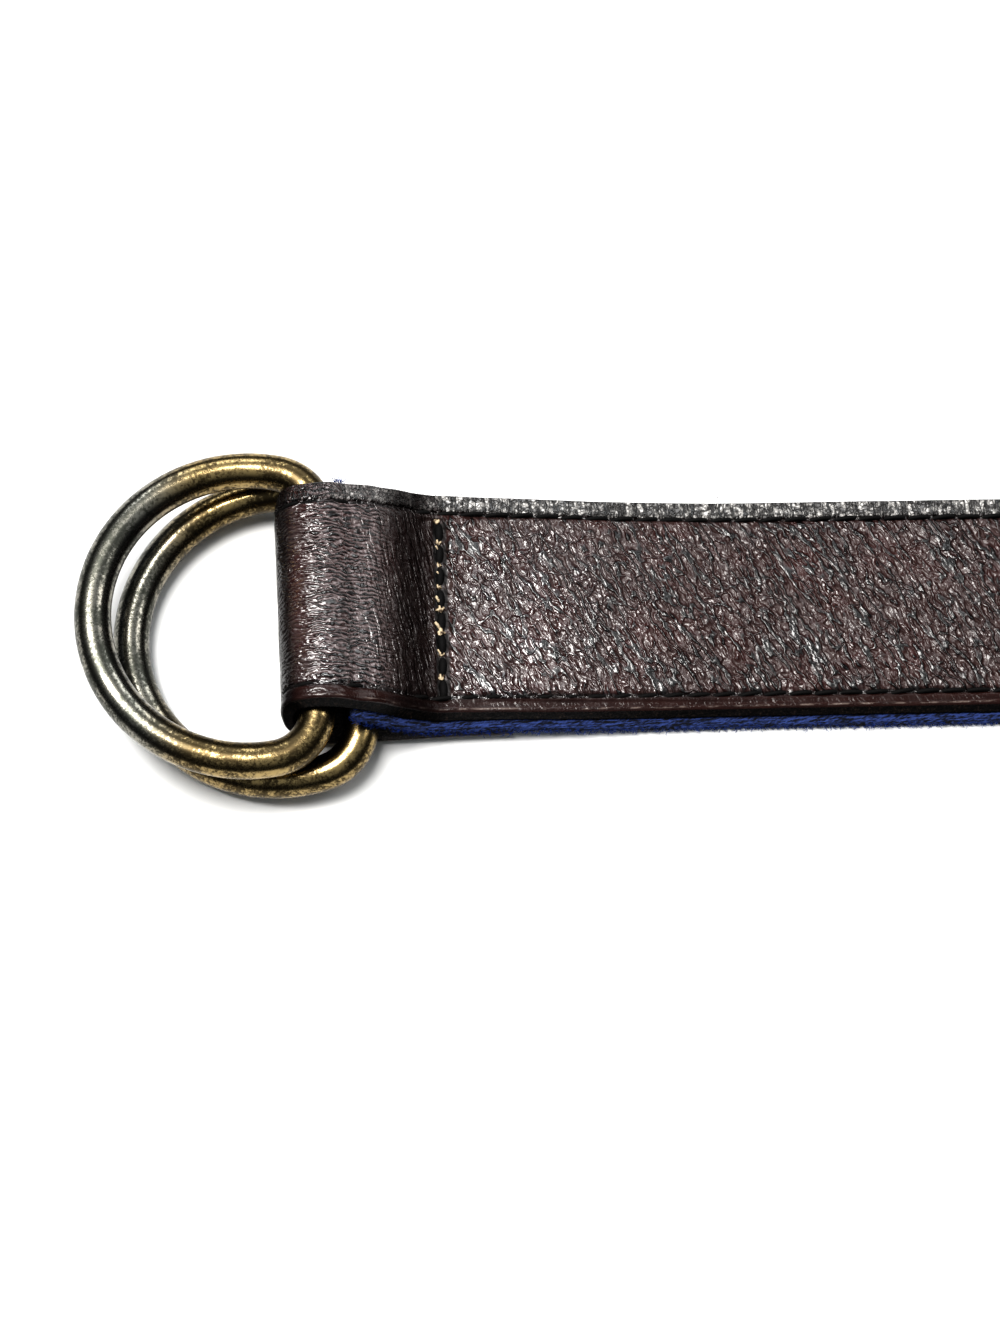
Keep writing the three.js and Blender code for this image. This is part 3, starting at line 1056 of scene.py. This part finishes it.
def row_guide(route, off, flip):
    """A guide line at a height off the leather's middle, facing away from it."""
    along, across = (np.array(values, float) for values in zip(*route))
    widening = doubled_overhang * (1 - smoothstep(middle_at(along)[0], return_length, settle_length))
    across = across + np.sign(across) * widening
    if flip > 0:
        across = across + np.where(across > 0, far_widening(along), -near_widening(along))
    points = strap_point(along, across, off)
    _, _, nx, nz = middle_at(along)
    ups = np.stack([nx * flip, np.zeros_like(nx), nz * flip], axis=-1)
    return guide_line(points, ups=ups)


def thread_material():
    """Black waxed thread with a twist."""
    material, tree, shader = new_material("black thread")
    place = add(tree, "ShaderNodeTexCoord").outputs["Object"]
    twist = noise(tree, place, 4200.0, 2.0)
    tint = blend(tree, twist, (0.0015, 0.0015, 0.0015, 1), (0.008, 0.007, 0.007, 1))
    fill(tree, shader, {"Base Color": tint, "Normal": raised(tree, twist, 0.05 * MM),
                        "Roughness": 0.75, "Specular IOR Level": 0.2})
    return material


black_thread = thread_material()
stitches = stitch_tree()
stitch_sizes = {"Pitch": stitch_pitch * MM, "Length": stitch_length * MM, "Lean": 0.09,
                "Thread radius": thread_radius * MM, "Dive": 0.38 * MM, "Least size": 0.94,
                "Material": black_thread}
grain_height = leather_thickness / 2 - stitch_groove_depth + 0.02
back_height = -layer_step - webbing_thickness / 2 + thread_radius * 0.4
stitch_rows = [
    ("edge_stitches", returned_run + row_gap, grain_height, 1.0, "leather"),
    ("back_stitches", return_length + row_gap, back_height, -1.0, "webbing"),
]
for name, start, off, flip, slot in stitch_rows:
    row = grow(row_guide(edge_route(start, stitch_inset), off, flip), stitches, stitch_sizes, name)
    press_down(row, pressed_thread)
    dress(row, black_thread, "belt", slot)
    print(name, "faces:", len(row.data.polygons))

# %% [markdown]
# The cross row closes the loop, so it carries the pull of the rings. Its thread is heavier and is
# sunk so deep that the stitches read as black slots, and between them the lighter bobbin
# thread comes up as small beige loops. The same stitches come out under the returned leather.

# %% Cross row
cross_count = 8
cross_thread_radius, cross_length = 0.62, 2.3
speck_radius, speck_length, speck_sunk, speck_wander = 0.25, 0.95, 0.4, 0.22


def cross_places(shift):
    """Where the stitches of the cross row are across the strap."""
    return [(step - (cross_count - 1) / 2 + shift) * cross_pitch for step in range(cross_count)]


def cross_guide(along, off, shift=0.0, uneven=0.0, seed=1):
    """A short guide line across the strap, facing up, with its places a little uneven."""
    rng = np.random.default_rng(seed)
    places = np.array(cross_places(shift))
    alongs = along + rng.uniform(-uneven, uneven, len(places))
    points = strap_point(alongs, places + rng.uniform(-uneven, uneven, len(places)), off)
    _, _, nx, nz = middle_at(alongs)
    return guide_line(points, ups=[(float(nx[0]), 0.0, float(nz[0]))] * len(places))


def beige_thread_material():
    """Undyed thread."""
    material, tree, shader = new_material("beige thread")
    place = add(tree, "ShaderNodeTexCoord").outputs["Object"]
    patchiness = ramp(tree, noise(tree, place, 1500.0, 3.0), 0.4, 0.6)
    tint = blend(tree, patchiness, (0.05, 0.03, 0.015, 1), (0.55, 0.45, 0.31, 1))
    fill(tree, shader, {"Base Color": tint, "Roughness": 0.7})
    return material


cross_sizes = {**stitch_sizes, "Pitch": cross_pitch * MM, "Length": cross_length * MM, "Lean": 0.0,
               "Thread radius": cross_thread_radius * MM}
# Name, place along the leather, and how far the thread's middle is sunk into it, in mm.
cross_rows = [
    ("cross_stitches", 0.0, 0.72),
    ("cross_under_stitches", returned_run + return_length, 0.5),
]
for name, along, sunk in cross_rows:
    row = grow(cross_guide(along, leather_thickness / 2 - sunk), stitches, cross_sizes, name)
    press_down(row, pressed_thread)
    dress(row, black_thread, "belt", "leather")
    print(name, "faces:", len(row.data.polygons))

beige_thread = beige_thread_material()
for number, (along, lean) in enumerate([(-0.5, 0.6), (-0.1, -0.5), (-0.25, 1.4), (-0.3, 0.1)]):
    speck_sizes = {**cross_sizes, "Length": speck_length * MM, "Lean": lean, "Dive": 0.12 * MM,
                   "Thread radius": speck_radius * MM, "Least size": 0.55, "Material": beige_thread}
    guide = cross_guide(along, leather_thickness / 2 - speck_sunk, 0.5, speck_wander, number)
    specks = grow(guide, stitches, speck_sizes, f"bobbin_loops_{number}")
    dress(specks, beige_thread, "belt", "leather")
    print(specks.name, "faces:", len(specks.data.polygons))

# %% [markdown]
# Worn webbing and a raw leather edge shed fibres. Geometry Nodes scatter short bent hairs along a
# guide line, each turned and sized at random from a fixed seed. A texture could only darken the
# edge, while these hairs break its outline as they do in the photograph.

# %% Lint
hair_steps, hair_sides, hair_turn = 4, 3, 3.1


def lint_tree():
    """Scatters bent hairs along a guide line."""
    tree, inputs = new_tree("lint", {"Pitch": FLOAT, "Length": FLOAT, "Hair radius": FLOAT,
                                     "Spread": FLOAT, "Seed": INT, "Material": MATERIAL})
    spread, seed, length = inputs["Spread"], inputs["Seed"], inputs["Length"]
    nearer = times(tree, spread, -1.0)
    push = any_vector(tree, as_vector(tree, nearer, nearer, nearer),
                      as_vector(tree, spread, spread, spread), seed)
    steps = spaced(tree, inputs["Geometry"], inputs["Pitch"])
    roots = add(tree, "GeometryNodeSetPosition", {"Geometry": steps, "Offset": push}).outputs[0]
    part = times(tree, length, 0.45)
    bent = bow(tree, hair_steps, (0, 0, 0), as_vector(tree, x=part, z=part), as_vector(tree, x=length))
    hair = swept(tree, bent, inputs["Hair radius"], hair_sides)
    turn = any_vector(tree, [-hair_turn] * 3, [hair_turn] * 3, seed)
    set_copies(tree, roots, hair, turn, any_number(tree, 0.35, 1.0, seed), inputs["Material"])
    return tree


def fibre_material(name, colour):
    """Matt loose fibre of one colour."""
    material, tree, shader = new_material(name)
    fill(tree, shader, {"Base Color": colour, "Roughness": 0.9, "Specular IOR Level": 0.1})
    return material


def edge_guide(start, end, across_share, off):
    """A guide along an edge of the strap, at a share of its half width and a height."""
    alongs = np.arange(start, end, 0.5)
    half = half_width(middle_at(alongs)[0], webbing_overhang)
    return guide_line(strap_point(alongs, half * across_share, off))


lint = lint_tree()
blue_fibre = fibre_material("blue fibre", (0.02, 0.05, 0.22, 1))
black_fibre = fibre_material("black fibre", (0.006, 0.006, 0.008, 1))
flat_run = tip_run - tip_corner_radius
blue_run, black_run, tuft_run = (webbing_start(), flat_run), (-14.5, flat_run), (-17.0, -15.6)
pressed_lint = 0.02
# Name, run, share of the half width with height, pitch, length, radius, spread and seed, and fibre.
lint_plan = [
    ("near_lint", blue_run, (-1.035, -layer_step), (0.06, 1.0, 0.035, 0.5, 3), blue_fibre),
    ("far_lint", blue_run, (0.94, -layer_step), (0.5, 0.8, 0.03, 0.3, 4), blue_fibre),
    ("blue_tuft", tuft_run, (1.0, -0.1), (0.025, 1.3, 0.045, 0.3, 6), blue_fibre),
    ("edge_lint", black_run, (1.05, 0.2), (0.4, 0.8, 0.028, 0.4, 5), black_fibre),
]
for name, (start, end), (share, off), (pitch, length, radius, spread, seed), fibre in lint_plan:
    sizes = {"Pitch": pitch * MM, "Length": length * MM, "Hair radius": radius * MM,
             "Spread": spread * MM, "Seed": seed, "Material": fibre}
    hairs = grow(edge_guide(start, end, share, off), lint, sizes, name)
    press_down(hairs, pressed_lint)
    dress(hairs, fibre, "belt", "webbing" if fibre is blue_fibre else "leather")
    print(name, "faces:", len(hairs.data.polygons))
